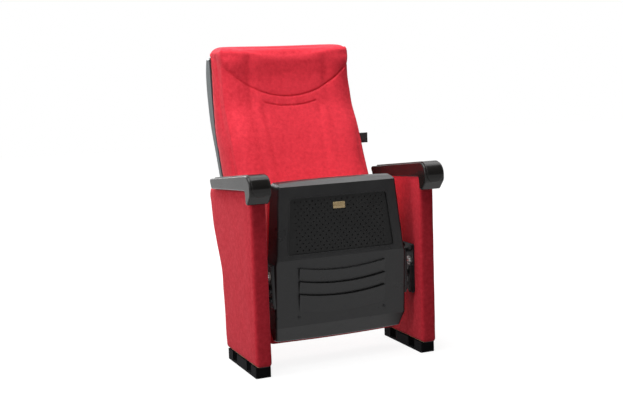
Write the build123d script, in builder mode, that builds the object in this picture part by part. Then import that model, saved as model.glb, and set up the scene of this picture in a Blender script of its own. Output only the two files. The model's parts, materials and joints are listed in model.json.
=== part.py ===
import os
from math import asin, cos, degrees, radians, sin, sqrt, tan

from build123d import *

# A tip-up auditorium seat: two upholstered standards on floor feet carry two rolled
# armrests, a padded back in a hard shell, and a seat that tips up on two side pivots.
# Millimetres. X across the chair, its front at -Y, Z up from the floor. The origin is on
# the floor, midway between the two feet. Paired pieces are drawn on the +X side.

os.makedirs("parts", exist_ok=True)

# Clearances
soft_gap = 0.3  # upholstery to what it lies on
insert_gap = 0.2  # insert or cap in its recess, each side
running_clearance = 0.03  # pivot pin in its bush, radial
bolt_clearance = 0.3  # bolt in its hole, radial

# Standards
standard_spacing = 560.0  # centre to centre
cover_thickness = 4.5  # fabric on thin foam
board_thickness = 7.5
column_depth = 25.0
column_wall = 3.0
column_base = 6.0
standard_front = -141.5
standard_top_front = 580.0
standard_top_rear = 541.0
standard_rear_top = 236.0
cover_lift = 2.0  # upholstery above the foot
cover_edge_radius = 8.0
# (y, z, length, height) of the column's windows
column_windows = ((0.0, 122.0, 180.0, 90.0), (65.0, 340.0, 120.0, 150.0), (-60.0, 460.0, 100.0, 130.0))

# Feet
foot_length = 257.0
foot_width = 48.0
foot_height = 34.0
foot_flange = 6.0
foot_roof = 8.0
foot_pocket_length = 72.0
foot_pocket_width = 36.0
foot_edge_radius = 3.0
anchor_spacing = 128.0  # along the foot
anchor_inset = 11.0  # from the foot's side
anchor_hole = 9.0
anchor_pocket_radius = 20.0
foot_bolt_spacing = 44.0

# Armrests
arm_width = 68.0
arm_offset = 6.0  # of its middle, outward from the standard's
arm_front = -184.0
arm_rear = 195.0
arm_top_front = 616.0  # where the top line meets the front line
arm_top_rear = 574.0
arm_under_rear = 543.0
arm_under_front = 566.0
arm_under_end = 178.0
arm_roll = 38.0  # radius of the rolled front
arm_roll_z = 556.0
arm_tip_front, arm_tip_rear = -157.0, -143.0
arm_leg_rear = -138.0
arm_tip_z = 527.0
arm_wall = 5.0
arm_slot_gap = 0.5  # cheek to upholstery
cap_width = 54.0
cap_proud = 3.0
cap_recess = 2.0
cap_rear = 157.0
cap_edge_radius = 1.5
cap_tongue_z = 549.0  # lowest point of the tongue
arm_boss_y = (-90.0, 130.0)
arm_boss_diameter = 16.0
arm_screw_length = 22.0
arm_edge_radius = 5.0

# Seat pivot
pivot_y = -74.5
pivot_z = 294.0
seat_travel = 84.0  # degrees from tipped up to lowered
pin_diameter = 16.0
pin_thread = 13.8
pin_collar = 28.0
pin_collar_length = 4.0
pin_inner_end = 162.0
pin_nut_length = 9.0
pin_nut_flats = 22.0
thread_gap = 0.1
bush_wall = 2.0
bush_flange = 2.0
bush_flange_diameter = 28.0
hub_wall = 3.0
hub_gap = 0.2  # hub in its holes, radial
hub_inner_end = 197.0
hinge_plate_thickness = 4.0
hinge_face = 226.0  # flat on the pan's side that carries the hinge plate
hinge_front, hinge_rear = -95.0, -57.0
hinge_bottom, hinge_top = 200.0, 326.0
hinge_bolt_length = 30.0
hinge_bolts = ((-86.0, 222.0), (-69.0, 222.0), (-86.0, 250.0), (-69.0, 250.0))
lug_diameter = 10.0
lug_length = 10.0
buffer_diameter = 14.0
buffer_gap = 6.0  # buffer's end to the hinge plate
stop_radius = 40.0
stop_start = -60.0  # degrees, direction of the lug with the seat tipped up

# Return spring
spring_wire = 4.0
spring_radius = 15.0
spring_pitch = 5.0
spring_turns = 4.75
spring_start = 169.0

# Hinge bracket on the standard
bracket_plate = 5.0
bracket_front, bracket_rear = -98.0, -20.0
bracket_bottom, bracket_top = 190.0, 348.0
bracket_foot = -62.0  # rear end of the bracket's lower edge
bracket_shoulder = 262.0
rib_front, rib_rear = -92.5, -80.5
rib_proud = 14.5
rib_bottom, rib_top = 193.0, 279.0
bracket_bolts = ((-70.0, 210.0), (-34.0, 272.0), (-86.0, 336.0), (-30.0, 338.0))

# Seat pan
rim_y = -45.0  # open rim of the pan, the seat tipped up
pan_wall = 3.5
pan_draft = 5.0  # degrees
pan_top_draft = 11.0  # degrees, of the sides at the top
pan_top = 573.5
pan_bottom = 84.0
pan_crown = 4.0
pan_half_top = 204.0
pan_half_crease = 219.5
pan_half_low = 225.0
pan_half_bottom = 214.0
pan_corner = 20.0
pan_foot_corner = 8.0
pan_edge_radius = 8.0
pan_ridge_y = -60.0
pan_ridge_z = 578.0
face_top_y = -91.5
face_top_z = 562.0
crease_y = -107.5
crease_z = 341.0
low_crease_y = -92.5
low_crease_z = 133.0
face_bottom_y = -68.0
pan_screw_x = 145.0
pan_screw_z = 162.0
pan_screw_seat = -93.2
pan_screw_length = 19.0
pan_boss_diameter = 14.0

# Seat inside the pan
seat_board_thickness = 12.0
seat_board_inset = 5.0
rim_gap = 0.3  # board's face below the pan's rim
frame_tube = 25.0
frame_tube_wall = 2.0
frame_plate = 5.0
frame_plate_outside = 212.0
frame_plate_front = -89.0
frame_bottom = 145.0
frame_plate_top = 345.0
# (height, half length) of the cross tubes
frame_rails = ((162.5, 212.0), (332.5, 212.0), (545.0, 183.0))
frame_bearer_x = 110.0
frame_bearer_width = 30.0
frame_bearer_depth = 6.0
# (depth from the rim, inset, drop of the lower edge, corner radius)
seat_cushion_drop = 8.0  # of its upper edge below the pan's
seat_cushion_sections = (
    (0.0, -1.5, 0.0, 16.0),
    (10.0, -4.5, 6.0, 18.0),
    (30.0, -6.0, 10.0, 22.0),
    (50.0, -4.5, 8.0, 26.0),
    (61.0, -1.0, 6.0, 28.0),
    (69.0, 6.0, 4.0, 30.0),
    (74.0, 16.0, 2.0, 32.0),
    (77.0, 30.0, 0.0, 34.0),
    (79.5, 50.0, 0.0, 34.0),
    (81.5, 74.0, 0.0, 32.0),
    (83.0, 100.0, 0.0, 30.0),
)

# Perforated insert, heights along the pan's upper face from the crease
grille_low, grille_high = 16.0, 184.0
grille_half_low, grille_half_high = 178.0, 160.0
grille_corner = 8.0
grille_thickness = 2.5
grille_depth = 3.0
grille_ledge = 6.0
tub_wall = 2.5
grille_bead = 3.0
grille_bead_proud = 1.2
hole_size = 4.6
hole_pitch = 19.5
row_pitch = 10.5
hole_columns, hole_rows = 16, 8
felt_thickness = 6.0
badge_width = 40.0
badge_height = 20.0
badge_thickness = 1.5
badge_middle = 155.0

# Louvres on the pan's lower face, heights from the crease
louvre_half_width = 145.0
louvre_tops = (-26.0, -68.0, -108.0)  # ends of the curved upper edges
louvre_bottom = -159.0
louvre_sag = 15.0
louvre_proud = 8.0
louvre_step = 1.0  # height left at each louvre's lower edge
louvre_overlap = 2.0  # each louvre runs under the next

# Back: stations from its lower edge to its top
# (height, half width, front crest, hollow between the bolsters, rear of the cushion)
back_stations = (
    (427.0, 231.0, 98.0, 14.0, 246.0),
    (470.0, 236.0, 108.0, 20.0, 266.0),
    (560.0, 239.5, 149.0, 24.0, 309.0),
    (660.0, 240.0, 196.0, 24.0, 348.0),
    (740.0, 240.0, 235.0, 18.0, 370.0),
    (800.0, 239.0, 265.0, 10.0, 379.0),
    (860.0, 237.5, 279.0, 8.0, 385.0),
    (920.0, 236.0, 283.0, 8.0, 390.0),
    (960.0, 235.5, 287.0, 7.0, 393.0),
    (984.0, 231.0, 304.0, 4.0, 386.0),
    (993.0, 222.0, 326.0, 2.0, 370.0),
)
bolster_round = 36.0
# (height, rear face) of the shell
shell_stations = (
    (427.0, 272.0),
    (470.0, 291.0),
    (560.0, 333.0),
    (660.0, 376.0),
    (740.0, 410.0),
    (800.0, 424.0),
    (860.0, 433.0),
    (920.0, 431.0),
    (957.0, 419.0),
)
shell_side_gap = 12.5  # shell to the plate of its bracket
shell_wall = 4.0
shell_corner = 10.0
shell_lip_gap = 0.6
back_board_thickness = 12.0
back_board_inset = 9.0
shell_screw_x = 150.0
# (height, rear face of the shell, screw length)
shell_screw_stations = ((560.0, 333.0, 17.0), (740.0, 410.0, 33.0), (860.0, 433.0, 41.0))
shell_boss_diameter = 16.0
shell_screw_sink = 3.0
seam_width = 3.0
seam_depth = 2.5
# (half width, height at the ends, height in the middle) of the seams on the front
back_seams = ((229.0, 933.0, 821.0), (92.0, 804.0, 790.0))
tab_width, tab_height, tab_thickness = 30.0, 34.0, 1.2
tab_y, tab_z = 246.0, 669.0

# Back brackets
back_plate = 5.0
back_plate_front, back_plate_rear = 125.0, 300.0
back_plate_bottom, back_plate_top = 440.0, 505.0
back_bolts = ((145.0, 456.0), (145.0, 490.0), (205.0, 473.0))
back_plate_lean = 22.0
back_spacer_front, back_spacer_depth = 257.0, 16.0
back_side_places = ((266.5, 456.0), (282.5, 490.0))
back_side_screw_length = 45.0

# Fasteners
bolt_shank = 8.0
bolt_flats = 13.0
bolt_head = 5.0
screw_shank = 5.0
screw_head_diameter = 9.0
screw_head = 3.0

# Derived
standard_x = standard_spacing / 2
standard_width = column_depth + 2 * (board_thickness + cover_thickness)
inner_face = standard_x - standard_width / 2
column_x = standard_x - column_depth / 2
column_web = column_x + column_wall
pocket_inset = cover_thickness + soft_gap
cover_bottom = foot_height + cover_lift
bracket_face = inner_face - bracket_plate
shell_half = bracket_face - shell_side_gap
hinge_outside = hinge_face + hinge_plate_thickness
back_side_face = bracket_face + back_plate
screw_thread_hole = screw_shank + 2 * thread_gap
frame_rear = rim_y - seat_board_thickness
frame_front = frame_rear - frame_tube
bush_diameter = pin_diameter + 2 * (running_clearance + bush_wall)
hub_diameter = bush_diameter + 2 * hub_wall
hub_hole = hub_diameter + 2 * hub_gap
bolt_hole = bolt_shank + 2 * bolt_clearance
screw_hole = screw_shank + 2 * bolt_clearance
standard_slope = (standard_top_front - standard_top_rear) / (standard_rear_top - standard_front)
pivot = (pivot_y, pivot_z)
pan_ridge_slope = (pan_ridge_z - face_top_z) / (pan_ridge_y - face_top_y)
pan_behind = rim_y + 2 * pan_wall
pan_over_z = face_top_z + (pan_behind - face_top_y) * pan_ridge_slope
tub_depth = grille_depth + grille_thickness + felt_thickness
pan_screw_places = [Plane(origin=(x, pan_screw_seat, pan_screw_z), z_dir=(0, 1, 0))
                    for x in (-pan_screw_x, pan_screw_x)]
skin_drill = bracket_plate + cover_thickness + board_thickness + 2
standard_bolt_length = bracket_plate + cover_thickness + board_thickness + column_wall + 8
pin_hole = pin_thread + 2 * bolt_clearance
arm_slot = standard_width + 2 * arm_slot_gap
arm_x = standard_x + arm_offset
stop_half_step = degrees(asin((lug_diameter + buffer_diameter + 2 * soft_gap) / 4 / stop_radius))


def export(piece, name):
    piece.label = name
    export_step(piece, f"parts/{name}.step")


def export_pair(piece, name):
    export(mirror(piece, about=Plane.YZ), f"{name}_left")
    export(piece, f"{name}_right")


def on_both_sides(piece, name):
    with BuildPart() as pair:
        add(piece)
        mirror(about=Plane.YZ)
    export(pair.part, name)


def outward(x, places):
    return [Plane(origin=(x, y, z), z_dir=(1, 0, 0)) for y, z in places]


def inward(x, places):
    return [Plane(origin=(x, y, z), z_dir=(-1, 0, 0)) for y, z in places]


def drill(places, diameter, depth):
    with Locations(*places):
        Cylinder(diameter / 2, depth, align=(Align.CENTER, Align.CENTER, Align.MIN),
                 mode=Mode.SUBTRACT)


def hex_bolt(flats, head, shank, length):
    with BuildPart() as bolt:
        with BuildSketch():
            RegularPolygon(flats / 2, 6, major_radius=False)
        extrude(amount=-head)
        Cylinder(shank / 2, length, align=(Align.CENTER, Align.CENTER, Align.MIN))
    return bolt.part


def round_screw(shank, length):
    with BuildPart() as screw:
        Cylinder(screw_head_diameter / 2, screw_head,
                 align=(Align.CENTER, Align.CENTER, Align.MAX))
        Cylinder(shank / 2, length, align=(Align.CENTER, Align.CENTER, Align.MIN))
    return screw.part


# Standards. Their side profile in (y, z) is shared by upholstery, boards and column.

def standard_profile(inset, bottom):
    low = bottom - inset
    with BuildSketch() as profile:
        with BuildLine():
            FilletPolyline((standard_front, low), (143, low), (143, 130), (155, 285),
                           (221, 413), (246, 515), (standard_rear_top, standard_top_rear),
                           (standard_front, standard_top_front),
                           radius=(3, 3, 300, 120, 150, 30, 10, 6), close=True)
        make_face()
        if inset:
            offset(amount=-inset, kind=Kind.INTERSECTION)
    return profile.sketch


def top_point(y, drop):
    z = standard_top_front - standard_slope * (y - standard_front)
    lean = sqrt(1 + standard_slope ** 2)
    return Plane(origin=(standard_x, y - drop * standard_slope / lean, z - drop / lean),
                 x_dir=(1, 0, 0), z_dir=(0, standard_slope, 1))


def stop_point(angle):
    return (pivot_y + stop_radius * cos(radians(angle)),
            pivot_z + stop_radius * sin(radians(angle)))


arm_screw_places = [top_point(y, pocket_inset + column_wall) for y in arm_boss_y]
arm_boss_places = [top_point(y, -soft_gap) for y in arm_boss_y]
foot_bolt_places = [Plane((standard_x, y, foot_height - foot_roof))
                    for y in (-foot_bolt_spacing / 2, foot_bolt_spacing / 2)]
lug_place = stop_point(stop_start)
buffer_places = (stop_point(stop_start - 2 * stop_half_step),
                 stop_point(stop_start + seat_travel + 2 * stop_half_step))

# Upholstery: a sleeve open at its foot

with BuildPart() as side_cover:
    with BuildSketch(Plane.YZ.offset(inner_face)):
        add(standard_profile(0, cover_bottom))
    extrude(amount=standard_width)
    fillet(side_cover.faces().filter_by(Axis.X).edges(), cover_edge_radius)
    with BuildSketch(Plane.YZ.offset(inner_face + cover_thickness)):
        add(standard_profile(pocket_inset, cover_bottom - 1))
    extrude(amount=standard_width - 2 * cover_thickness, mode=Mode.SUBTRACT)
    drill(outward(bracket_face, bracket_bolts + back_bolts), bolt_hole, skin_drill)
    drill(outward(bracket_face, (pivot,)), pin_diameter, skin_drill)
    drill(arm_screw_places, screw_hole, 2 * pocket_inset)
export_pair(side_cover.part, "side_cover")

# Plywood boards against both faces of the column

with BuildPart() as board_outer:
    with BuildSketch(Plane.YZ.offset(column_x + column_depth)):
        add(standard_profile(pocket_inset, cover_bottom))
    extrude(amount=board_thickness)
export_pair(board_outer.part, "board_outer")

with BuildPart() as board_inner:
    with BuildSketch(Plane.YZ.offset(column_x - board_thickness)):
        add(standard_profile(pocket_inset, cover_bottom))
    extrude(amount=board_thickness)
    drill(outward(bracket_face, bracket_bolts + back_bolts), bolt_hole, skin_drill)
    drill(outward(bracket_face, (pivot,)), pin_diameter, skin_drill)
export_pair(board_inner.part, "board_inner")

# Column: a pressed tray with a rim all round and three lightening windows

with BuildPart() as column:
    with BuildSketch(Plane.YZ.offset(column_x)):
        add(standard_profile(pocket_inset, foot_height))
    extrude(amount=column_depth)
    with BuildSketch(Plane.YZ.offset(column_web)):
        add(standard_profile(pocket_inset + column_wall, foot_height + column_base))
    extrude(amount=column_depth, mode=Mode.SUBTRACT)
    with BuildSketch(Plane.YZ.offset(column_x)):
        for y, z, length, height in column_windows:
            with Locations((y, z)):
                RectangleRounded(length, height, 20)
    extrude(amount=column_wall, mode=Mode.SUBTRACT)
    drill(outward(column_x, bracket_bolts + back_bolts), bolt_hole, column_wall)
    drill(outward(column_x, (pivot,)), pin_hole, column_wall)
    drill(arm_screw_places, screw_hole, column_wall)
    drill(foot_bolt_places, bolt_hole, column_depth)
export_pair(column.part, "column")

# Feet: cast blocks with half-round pockets for the floor anchors

with BuildPart() as foot:
    with Locations((standard_x, 0, 0)):
        Box(foot_width, foot_length, foot_height,
            align=(Align.CENTER, Align.CENTER, Align.MIN))
    fillet(foot.edges().filter_by(Axis.Z), foot_edge_radius)
    with Locations((standard_x, 0, 0)):
        Box(foot_pocket_width, foot_pocket_length, foot_height - foot_roof,
            align=(Align.CENTER, Align.CENTER, Align.MIN), mode=Mode.SUBTRACT)
    with Locations(Location((standard_x, 0, foot_flange))):
        with GridLocations(foot_width, anchor_spacing, 2, 2):
            Cylinder(anchor_pocket_radius, foot_height,
                     align=(Align.CENTER, Align.CENTER, Align.MIN), mode=Mode.SUBTRACT)
    with Locations(Location((standard_x, 0, 0))):
        with GridLocations(foot_width - 2 * anchor_inset, anchor_spacing, 2, 2):
            Cylinder(anchor_hole / 2, 2 * foot_flange, mode=Mode.SUBTRACT)
    drill(foot_bolt_places, bolt_hole, foot_roof)
export_pair(foot.part, "foot")

with BuildPart() as foot_bolts:
    with Locations(*foot_bolt_places):
        add(hex_bolt(bolt_flats, bolt_head, bolt_shank, foot_roof + column_base))
on_both_sides(foot_bolts.part, "foot_bolts")


# Armrests: side profile in (y, z), a hollow moulding astride the standard

def arm_profile(grow):
    with BuildSketch() as profile:
        with BuildLine():
            FilletPolyline((arm_rear + grow, arm_top_rear + grow),
                           (arm_front - grow, arm_top_front + grow),
                           (arm_front - grow, arm_roll_z),
                           (arm_tip_front, arm_tip_z - 1 - grow),
                           (arm_tip_rear, arm_tip_z + 1 - grow),
                           (arm_leg_rear, arm_under_front + grow),
                           (arm_under_end + 2 * grow, arm_under_rear + grow),
                           radius=(8 + grow, arm_roll + grow, 20 + grow, 7, 5, 8, 8),
                           close=True)
        make_face()
    return profile.sketch


def cap_block(proud, gap):
    half = cap_width / 2 + gap
    with BuildPart() as block:
        with BuildSketch(Plane.YZ.offset(arm_x - half)):
            add(arm_profile(proud))
        extrude(amount=2 * half)
        with BuildSketch(Plane.YZ.offset(arm_x - half)):
            with BuildLine():
                Polyline((-215, 520), (-152, 520), (-142, 588), (cap_rear + gap, 566),
                         (cap_rear + gap, 650), (-215, 650), close=True)
            make_face()
        extrude(amount=2 * half, mode=Mode.INTERSECT)
        with BuildSketch(Plane.XZ):
            with Locations((arm_x, cap_tongue_z - gap + half)):
                Circle(half)
                Rectangle(2 * half, 150, align=(Align.CENTER, Align.MIN))
        extrude(amount=300, both=True, mode=Mode.INTERSECT)
        with BuildSketch(Plane.YZ.offset(arm_x - half)):
            add(arm_profile(-cap_recess))
        extrude(amount=2 * half, mode=Mode.SUBTRACT)
    return block.part


with BuildPart() as arm_bosses:
    with Locations(*arm_boss_places):
        Cylinder(arm_boss_diameter / 2, arm_top_front - arm_under_rear,
                 align=(Align.CENTER, Align.CENTER, Align.MIN))
    with BuildSketch(Plane.YZ.offset(arm_x - arm_width / 2)):
        add(arm_profile(-cap_recess - 1))
    extrude(amount=arm_width, mode=Mode.INTERSECT)

with BuildPart() as armrest:
    with BuildSketch(Plane.YZ.offset(arm_x - arm_width / 2)):
        add(arm_profile(0))
    extrude(amount=arm_width)
    fillet(armrest.faces().filter_by(Axis.X).edges(), arm_edge_radius)
    with BuildSketch(Plane.YZ.offset(standard_x - arm_slot / 2)):
        add(arm_profile(-arm_wall))
    extrude(amount=arm_slot, mode=Mode.SUBTRACT)
    with BuildSketch(Plane.YZ.offset(standard_x - arm_slot / 2)):
        add(standard_profile(-soft_gap, cover_bottom))
    extrude(amount=arm_slot, mode=Mode.SUBTRACT)
    add(arm_bosses.part)
    drill(arm_screw_places, screw_hole, arm_screw_length)
    add(cap_block(cap_proud + 1, insert_gap), mode=Mode.SUBTRACT)
export_pair(armrest.part, "armrest")

with BuildPart() as arm_cap:
    add(cap_block(cap_proud, 0))
    proud_edges = arm_cap.edges().filter_by(
        lambda edge: armrest.part.distance_to(Vertex(edge @ 0.5)) > cap_proud / 2)
    fillet(proud_edges, cap_edge_radius)
export_pair(arm_cap.part, "arm_cap")

with BuildPart() as arm_screws:
    with Locations(*arm_screw_places):
        add(round_screw(screw_shank, arm_screw_length - 1))
on_both_sides(arm_screws.part, "arm_screws")

# Hinge bracket: a plate on the standard with a front rib and two rubber stops

with BuildPart() as hinge_bracket:
    with BuildSketch(Plane.YZ.offset(bracket_face)):
        with BuildLine():
            FilletPolyline((bracket_front, bracket_bottom), (bracket_foot, bracket_bottom),
                           (bracket_rear, bracket_shoulder), (bracket_rear, bracket_top),
                           (bracket_front, bracket_top), radius=8, close=True)
        make_face()
    extrude(amount=bracket_plate)
    with BuildSketch(Plane.YZ.offset(inner_face - rib_proud)):
        with Locations(((rib_front + rib_rear) / 2, (rib_bottom + rib_top) / 2)):
            RectangleRounded(rib_rear - rib_front, rib_top - rib_bottom, 3)
    extrude(amount=rib_proud)
    drill(outward(bracket_face, bracket_bolts), bolt_hole, bracket_plate)
    drill(outward(bracket_face, (pivot,)), pin_hole, bracket_plate)
export_pair(hinge_bracket.part, "hinge_bracket")

with BuildPart() as stop_buffers:
    with Locations(*inward(bracket_face, buffer_places)):
        Cylinder(buffer_diameter / 2, bracket_face - hinge_outside - buffer_gap,
                 align=(Align.CENTER, Align.CENTER, Align.MIN))
    chamfer(stop_buffers.edges().group_by(Axis.X)[0], 1)
export_pair(stop_buffers.part, "stop_buffers")

with BuildPart() as hinge_bracket_bolts:
    with Locations(*outward(bracket_face, bracket_bolts)):
        add(hex_bolt(bolt_flats, bolt_head, bolt_shank, standard_bolt_length))
on_both_sides(hinge_bracket_bolts.part, "hinge_bracket_bolts")

with BuildPart() as pivot_pin:
    with Locations(*outward(pin_inner_end, (pivot,))):
        Cylinder(pin_diameter / 2, bracket_face - pin_inner_end,
                 align=(Align.CENTER, Align.CENTER, Align.MIN))
    with Locations(*outward(bracket_face - pin_collar_length, (pivot,))):
        Cylinder(pin_collar / 2, pin_collar_length,
                 align=(Align.CENTER, Align.CENTER, Align.MIN))
    with Locations(*outward(bracket_face, (pivot,))):
        Cylinder(pin_thread / 2, column_web + pin_nut_length + 2 - bracket_face,
                 align=(Align.CENTER, Align.CENTER, Align.MIN))
export_pair(pivot_pin.part, "pivot_pin")

with BuildPart() as pin_nut:
    with BuildSketch(*outward(column_web, (pivot,))):
        RegularPolygon(pin_nut_flats / 2, 6, major_radius=False)
        Circle(pin_thread / 2 + thread_gap, mode=Mode.SUBTRACT)
    extrude(amount=pin_nut_length)
on_both_sides(pin_nut.part, "pin_nuts")

# Seat hinge, riding with the seat: plate, hub with a nylon bush, and the stop lug

with BuildPart() as seat_hinge:
    with BuildSketch(Plane.YZ.offset(hinge_face)):
        with Locations(((hinge_front + hinge_rear) / 2, (hinge_bottom + hinge_top) / 2)):
            RectangleRounded(hinge_rear - hinge_front, hinge_top - hinge_bottom, 12)
        with Locations(lug_place):
            Circle(lug_diameter / 2 + 3)
    extrude(amount=hinge_plate_thickness)
    with Locations(*outward(hub_inner_end, (pivot,))):
        Cylinder(hub_diameter / 2, hinge_face - hub_inner_end,
                 align=(Align.CENTER, Align.CENTER, Align.MIN))
    with Locations(*outward(hinge_outside, (lug_place,))):
        Cylinder(lug_diameter / 2, lug_length, align=(Align.CENTER, Align.CENTER, Align.MIN))
    drill(outward(hub_inner_end, (pivot,)), bush_diameter, hinge_outside - hub_inner_end)
    drill(outward(hinge_face, hinge_bolts), bolt_hole, hinge_plate_thickness)
export_pair(seat_hinge.part, "seat_hinge")

with BuildPart() as bush:
    with Locations(*outward(hub_inner_end, (pivot,))):
        Cylinder(bush_diameter / 2, hinge_outside - hub_inner_end,
                 align=(Align.CENTER, Align.CENTER, Align.MIN))
    with Locations(*outward(hinge_outside, (pivot,))):
        Cylinder(bush_flange_diameter / 2, bush_flange,
                 align=(Align.CENTER, Align.CENTER, Align.MIN))
    drill(outward(hub_inner_end, (pivot,)), pin_diameter + 2 * running_clearance,
          hinge_outside + bush_flange - hub_inner_end)
export_pair(bush.part, "bush")

with BuildPart() as hinge_plate_bolts:
    with Locations(*inward(hinge_outside, hinge_bolts)):
        add(hex_bolt(bolt_flats, bolt_head, bolt_shank, hinge_bolt_length))
on_both_sides(hinge_plate_bolts.part, "hinge_plate_bolts")

with BuildPart() as return_spring:
    with BuildLine():
        coil = Helix(spring_pitch, spring_turns * spring_pitch, spring_radius,
                     center=(spring_start, *pivot), direction=(1, 0, 0))
    with BuildSketch(Plane(origin=coil @ 0, x_dir=(1, 0, 0), z_dir=coil % 0)):
        Rectangle(spring_wire, spring_wire)
    sweep(path=coil, is_frenet=True)
    with Locations(coil @ 1):
        Box(spring_wire, spring_wire, frame_rails[1][0] - frame_tube / 2 - soft_gap - pivot_z,
            align=(Align.CENTER, Align.CENTER, Align.MIN))
    with Locations(coil @ 0):
        Box(spring_wire, spring_wire, spring_radius - pin_diameter / 2 - soft_gap,
            align=(Align.CENTER, Align.CENTER, Align.MAX))
export_pair(return_spring.part, "return_spring")


# Seat pan. Its outline in (x, z) shrinks towards its face; the seat stands tipped up.

def pan_outline(inset, depth):
    inset_top = inset + depth * tan(radians(pan_top_draft))
    inset += depth * tan(radians(pan_draft))
    top, bottom = pan_top - inset, pan_bottom + inset
    right = ((pan_half_top - inset_top, top), (pan_half_crease - inset, crease_z + 14),
             (pan_half_low - inset, crease_z - 10), (pan_half_low - inset, low_crease_z),
             (pan_half_bottom - inset, bottom))
    left = [(-x, z) for x, z in right]
    with BuildSketch() as outline:
        with BuildLine():
            ThreePointArc(left[0], (0, top + pan_crown), right[0])
            Polyline(*right)
            ThreePointArc(right[-1], (0, bottom - pan_crown), left[-1])
            Polyline(*left)
        make_face()
        fillet(outline.vertices().group_by(Axis.Y)[-1], pan_corner - pan_wall)
        fillet(outline.vertices().group_by(Axis.Y)[0], pan_foot_corner)
    return outline.sketch


def facing_front(y):
    return Plane.XZ.offset(-y)


def pan_block(wall):
    rear = rim_y + wall
    front = crease_y - 10
    with BuildPart() as block:
        for y in (rear, front):
            with BuildSketch(facing_front(y)):
                add(pan_outline(wall, rim_y - y))
        loft(ruled=True)
        with BuildSketch(Plane.YZ):
            with BuildLine():
                Polyline((pan_behind, pan_over_z), (face_top_y, face_top_z),
                         (crease_y, crease_z), (low_crease_y, low_crease_z),
                         (face_bottom_y, pan_bottom), (pan_behind, pan_bottom - 50),
                         close=True)
            make_face()
            if wall:
                offset(amount=-wall, kind=Kind.INTERSECTION)
        extrude(amount=300, both=True, mode=Mode.INTERSECT)
    return block.part


def window(inset):
    low, high = grille_low + inset, grille_high - inset
    half_low, half_high = grille_half_low - inset, grille_half_high - inset
    with BuildSketch() as opening:
        with BuildLine():
            FilletPolyline((-half_low, low), (half_low, low), (half_high, high),
                           (-half_high, high), radius=grille_corner - inset / 2, close=True)
        make_face()
    return opening.sketch


def louvre_band(top, bottom):
    with BuildSketch() as band:
        with BuildLine():
            upper = ThreePointArc((-louvre_half_width, top), (0, top - louvre_sag),
                                  (louvre_half_width, top))
            lower = ThreePointArc((-louvre_half_width, bottom), (0, bottom - louvre_sag),
                                  (louvre_half_width, bottom))
            Line(upper @ 0, lower @ 0)
            Line(upper @ 1, lower @ 1)
        make_face()
    return band.sketch


def louvre(top, bottom):
    fall = (lower_face.y_dir * (bottom - top)
            - lower_face.z_dir * (louvre_proud - louvre_step))
    with BuildPart() as wedge:
        with BuildSketch(lower_face.offset(louvre_proud)):
            add(louvre_band(top + 2 * (top - bottom), top))
        extrude(amount=1.6 * fall.length, dir=fall.normalized())
        with BuildSketch(lower_face.offset(-1)):
            add(louvre_band(top, bottom - louvre_overlap))
        extrude(amount=louvre_proud + 1, mode=Mode.INTERSECT)
    return wedge.part


upper_face = Plane(origin=(0, crease_y, crease_z), x_dir=(1, 0, 0),
                   z_dir=(0, crease_z - face_top_z, face_top_y - crease_y))
lower_face = Plane(origin=(0, crease_y, crease_z), x_dir=(1, 0, 0),
                   z_dir=(0, low_crease_z - crease_z, crease_y - low_crease_y))
grille_face = upper_face.offset(-grille_depth)
felt_face = grille_face.offset(-grille_thickness - soft_gap)

with BuildPart() as seat_pan:
    add(pan_block(0))
    front_faces = seat_pan.faces().filter_by(lambda face: face.normal_at().Y < -0.7)
    fillet(front_faces.edges().filter_by(Axis.X, reverse=True), pan_edge_radius)
    add(pan_block(pan_wall), mode=Mode.SUBTRACT)
    for side in (-1, 1):
        with Locations((side * (hinge_face + frame_plate_outside) / 2, hinge_front,
                        hinge_bottom - 4)):
            Box(hinge_face - frame_plate_outside, hinge_rear - hinge_front,
                hinge_top - hinge_bottom + 8, align=(Align.CENTER, Align.MIN, Align.MIN))
    with BuildSketch(upper_face):
        add(window(-pan_wall))
    extrude(amount=-tub_depth - tub_wall)
    with BuildSketch(upper_face):
        add(window(-grille_bead))
    extrude(amount=grille_bead_proud)
    with BuildSketch(upper_face.offset(grille_bead_proud)):
        add(window(0))
    extrude(amount=-grille_bead_proud - grille_depth - grille_thickness, mode=Mode.SUBTRACT)
    with BuildSketch(upper_face):
        add(window(grille_ledge))
    extrude(amount=-tub_depth, mode=Mode.SUBTRACT)
    for top, bottom in zip(louvre_tops, louvre_tops[1:] + (louvre_bottom,)):
        add(louvre(top, bottom))
    with Locations(*pan_screw_places):
        Cylinder(pan_boss_diameter / 2, frame_front - pan_screw_seat,
                 align=(Align.CENTER, Align.CENTER, Align.MIN))
    drill(pan_screw_places, screw_hole, frame_front - pan_screw_seat)
    drill([place.offset(-10) for place in pan_screw_places], screw_head_diameter + 1, 10)
    for side, places in ((1, outward), (-1, inward)):
        drill(places(side * frame_plate_outside, (pivot,)), hub_hole, 20)
        drill(places(side * frame_plate_outside, hinge_bolts), bolt_hole, 20)
export(seat_pan.part, "seat_pan")

with BuildPart() as pan_screws:
    with Locations(*pan_screw_places):
        add(round_screw(screw_shank, pan_screw_length))
export(pan_screws.part, "pan_screws")

with BuildPart() as seat_grille:
    with BuildSketch(grille_face):
        add(window(insert_gap))
        with Locations((0, (grille_low + grille_high) / 2)):
            with GridLocations(hole_pitch, 2 * row_pitch, hole_columns, hole_rows):
                RegularPolygon(hole_size / 2, 6, mode=Mode.SUBTRACT)
            with GridLocations(hole_pitch, 2 * row_pitch, hole_columns - 1, hole_rows - 1):
                RegularPolygon(hole_size / 2, 6, mode=Mode.SUBTRACT)
    extrude(amount=-grille_thickness)
export(seat_grille.part, "seat_grille")

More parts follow.
